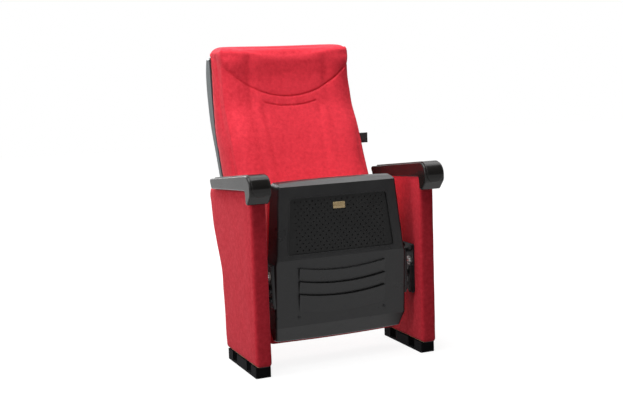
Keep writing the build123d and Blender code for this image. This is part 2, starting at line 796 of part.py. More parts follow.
with BuildPart() as badge_plate:
    with BuildSketch(grille_face):
        with Locations((0, badge_middle)):
            RectangleRounded(badge_width, badge_height, 2)
    extrude(amount=badge_thickness)
    chamfer(badge_plate.faces().sort_by(Axis.Y)[0].edges(), 0.4)
export(badge_plate.part, "badge_plate")

with BuildPart() as acoustic_felt:
    with BuildSketch(felt_face):
        add(window(grille_ledge + soft_gap))
    extrude(amount=-felt_thickness + 2 * soft_gap)
export(acoustic_felt.part, "acoustic_felt")

# Seat frame: side plates, three cross tubes and two flat bearers under the board

with BuildPart() as seat_frame:
    for side in (-1, 1):
        with Locations((side * (frame_plate_outside - frame_plate / 2), frame_rear, frame_bottom)):
            Box(frame_plate, frame_rear - frame_plate_front, frame_plate_top - frame_bottom,
                align=(Align.CENTER, Align.MAX, Align.MIN))
        with Locations((side * frame_bearer_x, frame_rear, frame_bottom)):
            Box(frame_bearer_width, frame_bearer_depth,
                frame_rails[-1][0] + frame_tube / 2 - frame_bottom,
                align=(Align.CENTER, Align.MAX, Align.MIN))
    for z, half in frame_rails:
        with BuildSketch(Plane.YZ.offset(-half)):
            with Locations((frame_rear - frame_tube / 2, z)):
                RectangleRounded(frame_tube, frame_tube, 3)
        extrude(amount=2 * half)
    for z, half in frame_rails:
        with Locations((0, frame_rear - frame_tube / 2 - frame_bearer_depth / 4, z)):
            Box(2 * half, frame_tube - 2 * frame_tube_wall - frame_bearer_depth / 2,
                frame_tube - 2 * frame_tube_wall, mode=Mode.SUBTRACT)
    for side, places in ((1, outward), (-1, inward)):
        start = side * (frame_plate_outside - frame_plate)
        drill(places(start, (pivot,)), hub_hole, 20)
        drill(places(start, hinge_bolts), bolt_hole, 20)
    drill([place.offset(frame_front - pan_screw_seat) for place in pan_screw_places],
          screw_hole, frame_tube_wall)
export(seat_frame.part, "seat_frame")

with BuildPart() as seat_board:
    with BuildSketch(facing_front(frame_rear)):
        add(pan_outline(seat_board_inset, seat_board_thickness))
    extrude(amount=-seat_board_thickness + rim_gap)
export(seat_board.part, "seat_board")


# Seat cushion: a crowned pad over the board and the pan's rim

def cushion_outline(inset, drop, corner):
    top, bottom = pan_top - inset - seat_cushion_drop, pan_bottom + inset - drop
    half_top, half_bottom = pan_half_top - inset, pan_half_low - inset
    with BuildSketch() as outline:
        with BuildLine():
            ThreePointArc((-half_top, top), (0, top + pan_crown), (half_top, top))
            Line((half_top, top), (half_bottom, bottom))
            ThreePointArc((half_bottom, bottom), (0, bottom - pan_crown),
                          (-half_bottom, bottom))
            Line((-half_bottom, bottom), (-half_top, top))
        make_face()
        fillet(outline.vertices(), corner)
    return outline.sketch


with BuildPart() as seat_cushion:
    for depth, inset, drop, corner in seat_cushion_sections:
        with BuildSketch(facing_front(rim_y + soft_gap + depth)):
            add(cushion_outline(inset, drop, corner))
    loft()
export(seat_cushion.part, "seat_cushion")


# Back. Rear faces of cushion, board and shell are curves in (y, z), straight across.

def rear_curve(stations, shift):
    return Spline(*[(y + shift, z) for z, y in stations])


def back_slab(front, front_shift, rear, rear_shift, bottom, top):
    with BuildSketch() as slab:
        with BuildLine():
            near = rear_curve(front, front_shift)
            far = rear_curve(rear, rear_shift)
            Line(near @ 0, far @ 0)
            Line(near @ 1, far @ 1)
        make_face()
        with Locations((0, bottom)):
            Rectangle(1000, top - bottom, align=(Align.CENTER, Align.MIN),
                      mode=Mode.INTERSECT)
    return slab.sketch


def back_front(inset, corner):
    with BuildSketch() as front:
        with Locations((0, (shell_bottom + shell_top) / 2)):
            RectangleRounded(2 * (shell_half - inset), shell_top - shell_bottom - 2 * inset,
                             corner)
    return front.sketch


def seam_ribbon(half, ends, middle):
    with BuildPart() as ribbon:
        with BuildSketch(Plane.XZ.offset(100)):
            with BuildLine():
                seam = Spline((-half, ends), (-0.6 * half, (ends + 2 * middle) / 3),
                              (0, middle), (0.6 * half, (ends + 2 * middle) / 3),
                              (half, ends))
            trace(seam, seam_width)
        extrude(amount=-700)
    return ribbon.part


cushion_rear = [(z, rear) for z, half, crest, hollow, rear in back_stations[:9]]
shell_bottom, shell_top = shell_stations[0][0], shell_stations[-1][0]
shell_screw_rows = [
    (rear - shell_screw_sink, length,
     [Plane(origin=(x, rear - shell_screw_sink, z), z_dir=(0, -1, 0))
      for x in (-shell_screw_x, shell_screw_x)])
    for z, rear, length in shell_screw_stations]

with BuildPart() as back_cushion:
    for z, half, crest, hollow, rear in back_stations:
        with BuildSketch(Plane.XY.offset(z)):
            with BuildLine():
                crest_x = half - bolster_round
                Bezier((-crest_x, crest), (-crest_x / 2, crest),
                       (-crest_x / 2, crest + hollow), (0, crest + hollow))
                Bezier((0, crest + hollow), (crest_x / 2, crest + hollow),
                       (crest_x / 2, crest), (crest_x, crest))
                RadiusArc((crest_x, crest), (half, crest + bolster_round), -bolster_round)
                Polyline((half, crest + bolster_round), (half, rear + 12), (-half, rear + 12),
                         (-half, crest + bolster_round))
                RadiusArc((-half, crest + bolster_round), (-crest_x, crest), -bolster_round)
            make_face()
    loft()
    with BuildSketch(Plane.YZ):
        add(back_slab(cushion_rear, 0, cushion_rear, 40, shell_bottom - 10, cushion_rear[-1][0]))
    extrude(amount=300, both=True, mode=Mode.SUBTRACT)
    for half, ends, middle in back_seams:
        groove = seam_ribbon(half, ends, middle) & back_cushion.part
        add(groove - back_cushion.part.moved(Location((0, seam_depth, 0))), mode=Mode.SUBTRACT)
export(back_cushion.part, "back_cushion")

with BuildPart() as back_board:
    with BuildSketch(Plane.YZ):
        add(back_slab(cushion_rear, soft_gap, cushion_rear, soft_gap + back_board_thickness,
                      shell_bottom, shell_top))
    extrude(amount=shell_half, both=True)
    with BuildSketch(Plane.XZ):
        add(back_front(back_board_inset, shell_corner))
    extrude(amount=-500, mode=Mode.INTERSECT)
    for seat, length, places in shell_screw_rows:
        drill(places, screw_thread_hole, length)
    for side, places in ((1, inward), (-1, outward)):
        drill(places(side * back_side_face, back_side_places), screw_thread_hole,
              back_side_screw_length)
export(back_board.part, "back_board")

with BuildPart() as back_shell:
    with BuildSketch(Plane.YZ):
        add(back_slab(cushion_rear, shell_lip_gap, shell_stations, 0, shell_bottom, shell_top))
    extrude(amount=shell_half, both=True)
    with BuildSketch(Plane.XZ):
        add(back_front(0, shell_corner))
    extrude(amount=-500, mode=Mode.INTERSECT)
    with BuildSketch(Plane.YZ):
        add(back_slab(cushion_rear, -5, shell_stations, -shell_wall, shell_bottom, shell_top))
    extrude(amount=shell_half - shell_wall, both=True, mode=Mode.SUBTRACT)
    with BuildPart(mode=Mode.PRIVATE) as bosses:
        for seat, length, places in shell_screw_rows:
            with Locations(*places):
                Cylinder(shell_boss_diameter / 2, 2 * length)
        with BuildSketch(Plane.YZ):
            add(back_slab(cushion_rear, soft_gap + back_board_thickness, shell_stations,
                          -shell_wall / 2, shell_bottom, shell_top))
        extrude(amount=shell_half, both=True, mode=Mode.INTERSECT)
    add(bosses.part)
    for seat, length, places in shell_screw_rows:
        drill(places, screw_hole, length)
        drill([place.offset(-20) for place in places], screw_head_diameter + 1, 20)
    for side, places in ((1, inward), (-1, outward)):
        drill(places(side * back_side_face, back_side_places), screw_hole,
              back_side_screw_length)
export(back_shell.part, "back_shell")

with BuildPart() as shell_screws:
    for seat, length, places in shell_screw_rows:
        with Locations(*places):
            add(round_screw(screw_shank, length))
export(shell_screws.part, "shell_screws")

# Back brackets: a plate on the standard with a spacer against the shell's side

with BuildPart() as back_bracket:
    with BuildSketch(Plane.YZ.offset(bracket_face)):
        with BuildLine():
            FilletPolyline((back_plate_front, back_plate_bottom),
                           (back_plate_rear - back_plate_lean, back_plate_bottom),
                           (back_plate_rear, back_plate_top), (back_plate_front, back_plate_top),
                           radius=8, close=True)
        make_face()
    extrude(amount=back_plate)
    with BuildSketch(Plane.YZ.offset(shell_half)):
        with BuildLine():
            FilletPolyline((back_spacer_front, back_plate_bottom + 6),
                           (back_spacer_front + back_spacer_depth, back_plate_bottom + 6),
                           (back_spacer_front + back_spacer_depth + back_plate_lean,
                            back_plate_top - 6),
                           (back_spacer_front + back_plate_lean, back_plate_top - 6),
                           radius=4, close=True)
        make_face()
    extrude(amount=bracket_face - shell_half)
    drill(outward(bracket_face, back_bolts), bolt_hole, back_plate)
    drill(inward(back_side_face, back_side_places), screw_hole, back_side_screw_length)
export_pair(back_bracket.part, "back_bracket")

with BuildPart() as back_bracket_bolts:
    with Locations(*outward(bracket_face, back_bolts)):
        add(hex_bolt(bolt_flats, bolt_head, bolt_shank, standard_bolt_length))
on_both_sides(back_bracket_bolts.part, "back_bracket_bolts")

with BuildPart() as back_side_screws:
    with Locations(*inward(back_side_face, back_side_places)):
        add(round_screw(screw_shank, back_side_screw_length))
on_both_sides(back_side_screws.part, "back_side_screws")

with BuildPart() as fabric_tab:
    with Locations((back_stations[3][1] + soft_gap, tab_y, tab_z)):
        Box(tab_width, tab_thickness, tab_height, align=(Align.MIN, Align.CENTER, Align.CENTER))
export(fabric_tab.part, "fabric_tab")
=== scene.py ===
import json
import math
import bmesh
import bpy
import numpy as np
from mathutils import Matrix, Vector, noise
from mathutils.bvhtree import BVHTree


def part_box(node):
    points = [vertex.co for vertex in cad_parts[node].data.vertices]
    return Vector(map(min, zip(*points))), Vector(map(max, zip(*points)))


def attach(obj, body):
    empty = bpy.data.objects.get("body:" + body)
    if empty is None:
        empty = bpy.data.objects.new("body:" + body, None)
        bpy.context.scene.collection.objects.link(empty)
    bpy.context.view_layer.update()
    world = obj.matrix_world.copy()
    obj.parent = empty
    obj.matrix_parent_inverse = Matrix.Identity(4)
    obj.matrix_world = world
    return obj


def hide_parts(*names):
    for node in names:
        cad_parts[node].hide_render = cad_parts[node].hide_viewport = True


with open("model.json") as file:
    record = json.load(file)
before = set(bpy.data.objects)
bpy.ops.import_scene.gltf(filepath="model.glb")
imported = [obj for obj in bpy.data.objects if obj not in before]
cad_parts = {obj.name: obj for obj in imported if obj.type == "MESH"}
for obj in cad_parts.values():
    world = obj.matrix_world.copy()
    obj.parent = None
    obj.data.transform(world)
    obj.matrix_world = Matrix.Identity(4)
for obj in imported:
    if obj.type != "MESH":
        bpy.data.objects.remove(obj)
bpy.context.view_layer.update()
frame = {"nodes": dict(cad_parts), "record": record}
nodes = frame["nodes"]
slotOf = {part["node"]: part["material_slot"] for part in frame["record"]["subparts"]}
scene = bpy.context.scene
white = (1, 1, 1, 1)
print("frame loaded:", len(nodes), "nodes")


# small helpers for node trees; a link is another node's socket or a plain value
def addNode(tree, kind, links=None, settings=None):
    node = tree.nodes.new(kind)
    for key, value in (settings or {}).items():
        setattr(node, key, value)
    for key, value in (links or {}).items():
        if hasattr(value, "bl_idname"):
            tree.links.new(value, node.inputs[key])
        else:
            node.inputs[key].default_value = value
    return node


def mathNode(tree, a, b, how="MULTIPLY", kind="ShaderNodeMath"):
    return addNode(tree, kind, {0: a, 1: b}, {"operation": how}).outputs[0]


def spread(tree, value, low, high, fromLow=0.3, fromHigh=0.7):
    limits = {"From Min": fromLow, "From Max": fromHigh, "To Min": low, "To Max": high}
    return addNode(tree, "ShaderNodeMapRange", {"Value": value, **limits}).outputs["Result"]


def blendColors(tree, mask, first, second):
    return addNode(tree, "ShaderNodeMix", {0: mask, 6: first, 7: second}, {"data_type": "RGBA"}).outputs[2]


# camera: where the photograph was taken from, angles in radians
cameraSet = {
    "place": (-1.29720, -2.93205, 0.91934),
    "yaw": 0.401636621,
    "pitch": 0.136835826,
    "roll": -0.0351213284,
    "lens": 59.48,
    "sensor": 36,
    "farEnd": 100,
}


def makeCamera(s):
    level = math.cos(s["pitch"])
    forward = Vector((math.sin(s["yaw"]) * level, math.cos(s["yaw"]) * level, -math.sin(s["pitch"])))
    side = Vector((math.cos(s["yaw"]), -math.sin(s["yaw"]), 0))
    up = side.cross(forward)
    turnCos, turnSin = math.cos(s["roll"]), math.sin(s["roll"])
    right = side * turnCos + up * turnSin
    top = up * turnCos - side * turnSin
    data = bpy.data.cameras.new("photoCamera")
    data.sensor_fit = "HORIZONTAL"
    data.sensor_width = s["sensor"]
    data.lens = s["lens"]
    data.clip_end = s["farEnd"]
    camera = bpy.data.objects.new("photoCamera", data)
    turn = Matrix((right, top, -forward)).transposed().to_4x4()
    camera.matrix_world = Matrix.Translation(s["place"]) @ turn
    scene.collection.objects.link(camera)
    scene.camera = camera


makeCamera(cameraSet)

# softboxes: place, size and watts of each; headBox has an aim and a beam of its own
lightSet = {
    "lamps": {
        "sideBox": ((-3.3, -0.3, 1.7), 1.5, 39),
        "overheadBox": ((-0.60, -0.28, 3.1), 2.0, 78),
        "bandBox": ((1.0, 0.5, 3.0), 2.1, 32),
        "rimBox": ((-0.9, 3.4, 2.3), 1.6, 64),
        "frontFill": ((-1.0, -3.8, 1.8), 1.8, 4),
        "headBox": ((-1.2, -1.9, 1.7), 0.4, 0.33, (-0.12, 0.2, 0.92), 24),
    },
    "aim": (0.0, 0.1, 0.5),
    "beam": 180,
    "ambient": 0.06,
    "roomFront": 0.12,  # what shiny surfaces see towards the camera's side
    "roomEdge": (-0.35, 0.25),  # where that turns into the white of the rear
    "floorColor": (0.20, 0.20, 0.20, 1),
    "floorGlow": (0.86, 1.0),  # near the chair and far away
    "floorFade": (0.5, 2.0),
    "floorShade": (0.20, 0.20, 0.20, 1),
    "floorHalf": 9.0,
}


# rays that see the white surroundings: the camera's, mirrored and passed ones
def seenRays(tree, mirrorShare=1.0):
    rays = addNode(tree, "ShaderNodeLightPath").outputs
    mirrored = mathNode(tree, rays["Is Glossy Ray"], mirrorShare)
    direct = mathNode(tree, rays["Is Camera Ray"], mirrored, "MAXIMUM")
    return mathNode(tree, direct, rays["Is Transmission Ray"], "MAXIMUM")


def makeLamps(s):
    for name, (place, size, watts, *own) in s["lamps"].items():
        aim, beam = own or (s["aim"], s["beam"])
        data = bpy.data.lights.new(name, "AREA")
        data.shape = "SQUARE"
        data.size = size
        data.energy = watts
        data.spread = math.radians(beam)
        lamp = bpy.data.objects.new(name, data)
        lamp.location = place
        lamp.rotation_euler = (Vector(aim) - Vector(place)).to_track_quat("-Z", "Y").to_euler()
        lamp.visible_camera = False
        scene.collection.objects.link(lamp)


def makeRoom(s):
    world = bpy.data.worlds.new("studio")
    scene.world = world
    world.use_nodes = True
    tree = world.node_tree
    tree.nodes.clear()
    dim = addNode(tree, "ShaderNodeBackground", {"Color": white, "Strength": s["ambient"]})
    bright = addNode(tree, "ShaderNodeBackground", {"Color": white, "Strength": 1.0})
    coords = addNode(tree, "ShaderNodeTexCoord")
    toward = addNode(tree, "ShaderNodeSeparateXYZ", {0: coords.outputs["Generated"]})
    backdrop = spread(tree, toward.outputs["Y"], s["roomFront"], 1.0, *s["roomEdge"])
    seen = seenRays(tree, backdrop)
    both = addNode(tree, "ShaderNodeMixShader", {0: seen, 1: dim.outputs[0], 2: bright.outputs[0]})
    addNode(tree, "ShaderNodeOutputWorld", {0: both.outputs[0]})


def makeFloor(s):
    half = s["floorHalf"]
    corners = [(-half, -half, 0), (half, -half, 0), (half, half, 0), (-half, half, 0)]
    mesh = bpy.data.meshes.new("floor")
    mesh.from_pydata(corners, [], [(0, 1, 2, 3)])
    floor = bpy.data.objects.new("floor", mesh)
    scene.collection.objects.link(floor)
    mat = bpy.data.materials.new("paleFloor")
    mat.use_nodes = True
    tree = mat.node_tree
    tree.nodes.clear()
    paper = addNode(tree, "ShaderNodeBsdfDiffuse", {"Color": s["floorColor"]})
    thin = addNode(tree, "ShaderNodeBsdfDiffuse", {"Color": s["floorShade"]})
    coords = addNode(tree, "ShaderNodeTexCoord")
    away = mathNode(tree, coords.outputs["Object"], (1, 1, 0), kind="ShaderNodeVectorMath")
    reach = addNode(tree, "ShaderNodeVectorMath", {0: away}, {"operation": "LENGTH"}).outputs["Value"]
    level = spread(tree, reach, *s["floorGlow"], *s["floorFade"])
    glow = addNode(tree, "ShaderNodeEmission", {"Color": white, "Strength": level})
    shown = addNode(tree, "ShaderNodeAddShader", {0: thin.outputs[0], 1: glow.outputs[0]})
    seen = seenRays(tree)
    both = addNode(tree, "ShaderNodeMixShader", {0: seen, 1: paper.outputs[0], 2: shown.outputs[0]})
    addNode(tree, "ShaderNodeOutputMaterial", {0: both.outputs[0]})
    mesh.materials.append(mat)


makeLamps(lightSet)
makeRoom(lightSet)
makeFloor(lightSet)
scene.view_settings.view_transform = "Standard"
print("camera and studio ready")


# shader groups that several finishes share
def newGroup(name, inputs, outputs):
    group = bpy.data.node_groups.new(name, "ShaderNodeTree")
    for label, value in inputs.items():
        kind = "NodeSocketVector" if isinstance(value, tuple) else "NodeSocketFloat"
        socket = group.interface.new_socket(label, in_out="INPUT", socket_type=kind)
        socket.default_value = value
    for label in outputs:
        group.interface.new_socket(label, in_out="OUTPUT", socket_type="NodeSocketFloat")
    return group, addNode(group, "NodeGroupInput").outputs, addNode(group, "NodeGroupOutput").inputs


grainSet = {
    "inputs": {"Stretch": (1.0, 1.0, 1.0), "Fine Scale": 900.0, "Coarse Scale": 14.0},
    "fineDetail": 3.0,
    "coarseDetail": 5.0,
    "coarseRough": 0.6,
}


def makeGrainGroup(s):
    group, given, made = newGroup("surfaceGrain", s["inputs"], ("Fine", "Coarse", "Cells"))
    coords = addNode(group, "ShaderNodeTexCoord")
    place = mathNode(group, coords.outputs["Object"], given["Stretch"], kind="ShaderNodeVectorMath")
    fineScale = {"Vector": place, "Scale": given["Fine Scale"]}
    coarseScale = {"Vector": place, "Scale": given["Coarse Scale"]}
    fine = addNode(group, "ShaderNodeTexNoise", {**fineScale, "Detail": s["fineDetail"]})
    coarse = addNode(group, "ShaderNodeTexNoise",
                     {**coarseScale, "Detail": s["coarseDetail"], "Roughness": s["coarseRough"]})
    cells = addNode(group, "ShaderNodeTexVoronoi", fineScale, {"feature": "DISTANCE_TO_EDGE"})
    group.links.new(fine.outputs[0], made["Fine"])
    group.links.new(coarse.outputs[0], made["Coarse"])
    group.links.new(cells.outputs["Distance"], made["Cells"])
    return group


rubSet = {
    "inputs": {"Scale": 9.0, "Length": 6.0},
    "detail": 8.0,
    "rough": 0.7,
    "distortion": 0.4,
    "edge": (0.42, 0.66),
}


def makeRubGroup(s):
    group, given, made = newGroup("rubMarks", s["inputs"], ("Rub",))
    coords = addNode(group, "ShaderNodeTexCoord")
    stretch = addNode(group, "ShaderNodeCombineXYZ", {"X": 1.0, "Y": given["Length"], "Z": 1.0})
    place = mathNode(group, coords.outputs["Object"], stretch.outputs[0], kind="ShaderNodeVectorMath")
    marks = addNode(group, "ShaderNodeTexNoise", {
        "Vector": place, "Scale": given["Scale"], "Detail": s["detail"], "Roughness": s["rough"],
        "Distortion": s["distortion"]})
    group.links.new(spread(group, marks.outputs[0], 0.0, 1.0, *s["edge"]), made["Rub"])
    return group


grainGroup = makeGrainGroup(grainSet)
rubGroup = makeRubGroup(rubSet)


def startMaterial(name):
    mat = bpy.data.materials.new(name)
    mat.use_nodes = True
    tree = mat.node_tree
    tree.nodes.clear()
    shader = addNode(tree, "ShaderNodeBsdfPrincipled")
    addNode(tree, "ShaderNodeOutputMaterial", {0: shader.outputs[0]})
    return mat, tree, shader


def useGroup(tree, group, values):
    return addNode(tree, "ShaderNodeGroup", values, {"node_tree": group}).outputs


def giveBump(tree, shader, height, s):
    bump = addNode(tree, "ShaderNodeBump", {"Height": height, "Strength": s["bump"], "Distance": s["depth"]})
    tree.links.new(bump.outputs[0], shader.inputs["Normal"])


# brushed red velour of the cushions and the side covers
velourSet = {
    "deep": (0.60, 0.022, 0.038, 1),
    "bright": (0.80, 0.040, 0.064, 1),
    "pileScale": 1500.0,
    "mottleScale": 90.0,
    "sweepScale": 6.0,  # broad patches where the pile lies another way
    "speckScale": 320.0,
    "sweepReach": (0.92, 1.08),
    "speckReach": (0.86, 1.14),
    "colorEdge": (0.22, 0.78),
    "rough": (0.95, 0.72),
    "sheen": 0.22,
    "sheenRough": 0.35,
    "sheenTint": (1.0, 0.36, 0.40, 1),
    "shine": 0.2,
    "speckHeight": 1.6,
    "bump": 0.35,
    "depth": 0.0006,
}


def makeVelour(s):
    mat, tree, shader = startMaterial("redVelour")
    pile = useGroup(tree, grainGroup, {"Fine Scale": s["pileScale"], "Coarse Scale": s["mottleScale"]})
    sweep = useGroup(tree, grainGroup, {"Fine Scale": s["speckScale"], "Coarse Scale": s["sweepScale"]})
    mottle = mathNode(tree, pile["Coarse"], spread(tree, sweep["Coarse"], *s["sweepReach"]))
    speck = mathNode(tree, mottle, spread(tree, sweep["Fine"], *s["speckReach"]))
    mask = spread(tree, speck, 0.0, 1.0, *s["colorEdge"])
    tree.links.new(blendColors(tree, mask, s["deep"], s["bright"]), shader.inputs["Base Color"])
    tree.links.new(spread(tree, pile["Coarse"], *s["rough"]), shader.inputs["Roughness"])
    shader.inputs["Sheen Weight"].default_value = s["sheen"]
    shader.inputs["Sheen Roughness"].default_value = s["sheenRough"]
    shader.inputs["Sheen Tint"].default_value = s["sheenTint"]
    shader.inputs["Specular IOR Level"].default_value = s["shine"]
    height = mathNode(tree, pile["Fine"], mathNode(tree, sweep["Fine"], s["speckHeight"]), "ADD")
    giveBump(tree, shader, height, s)
    return mat


# what all moulded and painted finishes share, then one entry each
mouldedCommon = {
    "cells": False,  # a leathery cell pattern in place of a plain fine grain
    "cellEdge": (0.0, 0.18),
    "speckReach": (0.8, 1.2),
    "rubScale": 0.8,  # of the coarse scale
    "rubLength": 3.0,
    "wear": (-0.015, 0.015),
    "shine": 0.5,
    "coatRough": 0.12,
}
mouldedSet = {
    "plastic_black": {
        "dark": (0.014, 0.014, 0.015, 1), "light": (0.026, 0.026, 0.027, 1), "rough": (0.27, 0.38),
        "fine": 780.0, "coarse": 11.0, "cells": True, "bump": 0.16, "depth": 0.0005, "shine": 0.36},
    # the grille's black plastic, darkened beyond the pan's as painted shade for its perforations
    "grille_black_painted_shade": {
        "dark": (0.008, 0.008, 0.008, 1), "light": (0.016, 0.016, 0.016, 1), "rough": (0.36, 0.46),
        "fine": 780.0, "coarse": 14.0, "cells": True, "bump": 0.16, "depth": 0.0005, "shine": 0.3},
    "arm_gloss": {
        "dark": (0.010, 0.009, 0.008, 1), "light": (0.020, 0.018, 0.017, 1), "rough": (0.18, 0.30),
        "fine": 420.0, "coarse": 8.0, "bump": 0.02, "depth": 0.0006, "shine": 0.22, "coat": 0.12},
    "shell_grey": {
        "dark": (0.045, 0.056, 0.060, 1), "light": (0.066, 0.080, 0.086, 1), "rough": (0.34, 0.50),
        "fine": 620.0, "coarse": 7.0, "cells": True, "bump": 0.14, "depth": 0.0005},
    "foot_black": {
        "dark": (0.007, 0.007, 0.008, 1), "light": (0.018, 0.018, 0.020, 1), "rough": (0.55, 0.72),
        "fine": 260.0, "coarse": 22.0, "bump": 0.32, "depth": 0.0010, "shine": 0.02},
    "steel_black": {
        "dark": (0.010, 0.010, 0.011, 1), "light": (0.024, 0.024, 0.026, 1), "rough": (0.34, 0.52),
        "fine": 540.0, "coarse": 18.0, "bump": 0.16, "depth": 0.0005, "shine": 0.3},
    "nylon": {
        "dark": (0.60, 0.58, 0.52, 1), "light": (0.74, 0.73, 0.69, 1), "rough": (0.34, 0.46),
        "fine": 700.0, "coarse": 30.0, "bump": 0.08, "depth": 0.0004},
    "rubber": {
        "dark": (0.010, 0.010, 0.010, 1), "light": (0.028, 0.027, 0.026, 1), "rough": (0.66, 0.88),
        "fine": 520.0, "coarse": 40.0, "bump": 0.25, "depth": 0.0006},
    "felt": {
        "dark": (0.010, 0.010, 0.011, 1), "light": (0.040, 0.040, 0.043, 1), "rough": (0.88, 1.0),
        "fine": 1100.0, "coarse": 120.0, "bump": 0.8, "depth": 0.0012},
}


def makeMoulded(name, own):
    s = {**mouldedCommon, **own}
    mat, tree, shader = startMaterial(name)
    grain = useGroup(tree, grainGroup, {"Fine Scale": s["fine"], "Coarse Scale": s["coarse"]})
    rubInputs = {"Scale": s["coarse"] * s["rubScale"], "Length": s["rubLength"]}
    rub = useGroup(tree, rubGroup, rubInputs)["Rub"]
    speck = spread(tree, grain["Fine"], *s["speckReach"])
    mask = mathNode(tree, spread(tree, grain["Coarse"], 0.0, 1.0), speck)
    tree.links.new(blendColors(tree, mask, s["dark"], s["light"]), shader.inputs["Base Color"])
    rough = spread(tree, grain["Coarse"], *s["rough"])
    worn = mathNode(tree, spread(tree, rub, *s["wear"], 0.0, 1.0), rough, "ADD")
    tree.links.new(worn, shader.inputs["Roughness"])
    height = spread(tree, grain["Cells"], 0.0, 1.0, *s["cellEdge"]) if s["cells"] else grain["Fine"]
    giveBump(tree, shader, height, s)
    shader.inputs["Specular IOR Level"].default_value = s["shine"]
    if "coat" in s:
        shader.inputs["Coat Weight"].default_value = s["coat"]
        shader.inputs["Coat Roughness"].default_value = s["coatRough"]
    return mat


# bright metals: brushed along one way, with a fine tarnish
metalSet = {
    "steel_zinc": {
        "dark": (0.42, 0.42, 0.41, 1), "light": (0.72, 0.72, 0.71, 1), "rough": (0.24, 0.42),
        "stretch": (1.0, 0.25, 0.25), "fine": 900.0, "coarse": 60.0, "bump": 0.12, "depth": 0.0003},
    "badge_brass": {
        "dark": (0.38, 0.26, 0.12, 1), "light": (0.76, 0.60, 0.36, 1), "rough": (0.20, 0.36),
        "stretch": (0.12, 1.0, 1.0), "fine": 2200.0, "coarse": 90.0, "bump": 0.12, "depth": 0.0003},
}


def stretchedGrain(tree, s):
    return useGroup(tree, grainGroup,
                    {"Stretch": s["stretch"], "Fine Scale": s["fine"], "Coarse Scale": s["coarse"]})


def makeMetal(name, s):
    mat, tree, shader = startMaterial(name)
    grain = stretchedGrain(tree, s)
    mask = spread(tree, grain["Coarse"], 0.0, 1.0)
    tree.links.new(blendColors(tree, mask, s["dark"], s["light"]), shader.inputs["Base Color"])
    tree.links.new(spread(tree, grain["Fine"], *s["rough"]), shader.inputs["Roughness"])
    shader.inputs["Metallic"].default_value = 1.0
    giveBump(tree, shader, grain["Fine"], s)
    return mat


def waveLines(tree, direction, scale, distortion):
    coords = addNode(tree, "ShaderNodeTexCoord")
    waves = addNode(tree, "ShaderNodeTexWave",
                    {"Vector": coords.outputs["Object"], "Scale": scale, "Distortion": distortion},
                    {"bands_direction": direction})
    return waves.outputs["Fac"]


# birch plywood: long grain, darker glue lines through the thickness
plywoodSet = {
    "dark": (0.33, 0.20, 0.09, 1),
    "light": (0.62, 0.45, 0.26, 1),
    "glue": (0.16, 0.09, 0.04, 1),
    "stretch": (1.0, 1.0, 0.06),
    "fine": 420.0,
    "coarse": 60.0,
    "plies": 95.0,
    "distortion": 0.3,
    "glueShare": 0.5,
    "glueEdge": (0.8, 1.0),
    "rough": (0.55, 0.75),
    "bump": 0.2,
    "depth": 0.0004,
}


def makePlywood(s):
    mat, tree, shader = startMaterial("birchPlywood")
    grain = stretchedGrain(tree, s)
    face = blendColors(tree, spread(tree, grain["Coarse"], 0.0, 1.0), s["dark"], s["light"])
    plies = waveLines(tree, "X", s["plies"], s["distortion"])
    lines = spread(tree, plies, 0.0, s["glueShare"], *s["glueEdge"])
    tree.links.new(blendColors(tree, lines, face, s["glue"]), shader.inputs["Base Color"])
    tree.links.new(spread(tree, grain["Fine"], *s["rough"]), shader.inputs["Roughness"])
    giveBump(tree, shader, grain["Fine"], s)
    return mat


# dark woven tape of the small side tab
tapeSet = {
    "dark": (0.012, 0.010, 0.011, 1),
    "light": (0.075, 0.062, 0.066, 1),
    "threads": 340.0,
    "distortion": 0.6,
    "rough": (0.9, 0.7),
    "bump": 0.6,
    "depth": 0.0004,
}


def makeTape(s):
    mat, tree, shader = startMaterial("wovenTape")
    warp, weft = (waveLines(tree, direction, s["threads"], s["distortion"]) for direction in "XZ")
    weave = mathNode(tree, warp, weft)
    tree.links.new(blendColors(tree, weave, s["dark"], s["light"]), shader.inputs["Base Color"])
    tree.links.new(spread(tree, weave, *s["rough"], 0.0, 1.0), shader.inputs["Roughness"])
    giveBump(tree, shader, weave, s)
    return mat


finishes = {
    "fabric_red": makeVelour(velourSet),
    "plywood": makePlywood(plywoodSet),
    "tab_dark": makeTape(tapeSet),
}
finishes.update({name: makeMoulded(name, row) for name, row in mouldedSet.items()})
finishes.update({name: makeMetal(name, row) for name, row in metalSet.items()})

ownFinish = {"seat_grille": "grille_black_painted_shade"}  # painted shade: black plastic made darker than the pan round it, standing in for the shade inside its perforations
for name, obj in nodes.items():
    for place in obj.material_slots:
        place.material = finishes[ownFinish.get(name, slotOf[name])]
print("finishes ready:", len(finishes))

# how every soft piece is meshed and stuffed
meshSet = {"weld": 0.00003, "relaxTurns": 3, "relaxShare": 0.5}
clothSet = {"quality": 4, "mass": 0.3, "tension": 20, "compression": 12, "bending": 0.6, "frames": 20}


def mergedCopy(node):
    bm = bmesh.new()
    bm.from_mesh(nodes[node].data)
    bmesh.ops.remove_doubles(bm, verts=bm.verts, dist=meshSet["weld"])
    return bm


def makeObject(bm, name, slot="fabric_red"):
    mesh = bpy.data.meshes.new(name)
    bm.to_mesh(mesh)
    bm.free()
    if "custom_normal" in mesh.attributes:
        mesh.attributes.remove(mesh.attributes["custom_normal"])
    mesh.materials.clear()
    mesh.materials.append(finishes[slot])
    obj = bpy.data.objects.new(name, mesh)
    scene.collection.objects.link(obj)
    return obj


# turns the modifiers' result into the piece's plain mesh
def settle(obj, slot="fabric_red"):
    graph = bpy.context.evaluated_depsgraph_get()
    fresh = bpy.data.meshes.new_from_object(obj.evaluated_get(graph), depsgraph=graph)
    obj.modifiers.clear()
    obj.data = fresh
    fresh.name = obj.name
    fresh.materials.clear()
    fresh.materials.append(finishes[slot])
    fresh.polygons.foreach_set("use_smooth", [True] * len(fresh.polygons))


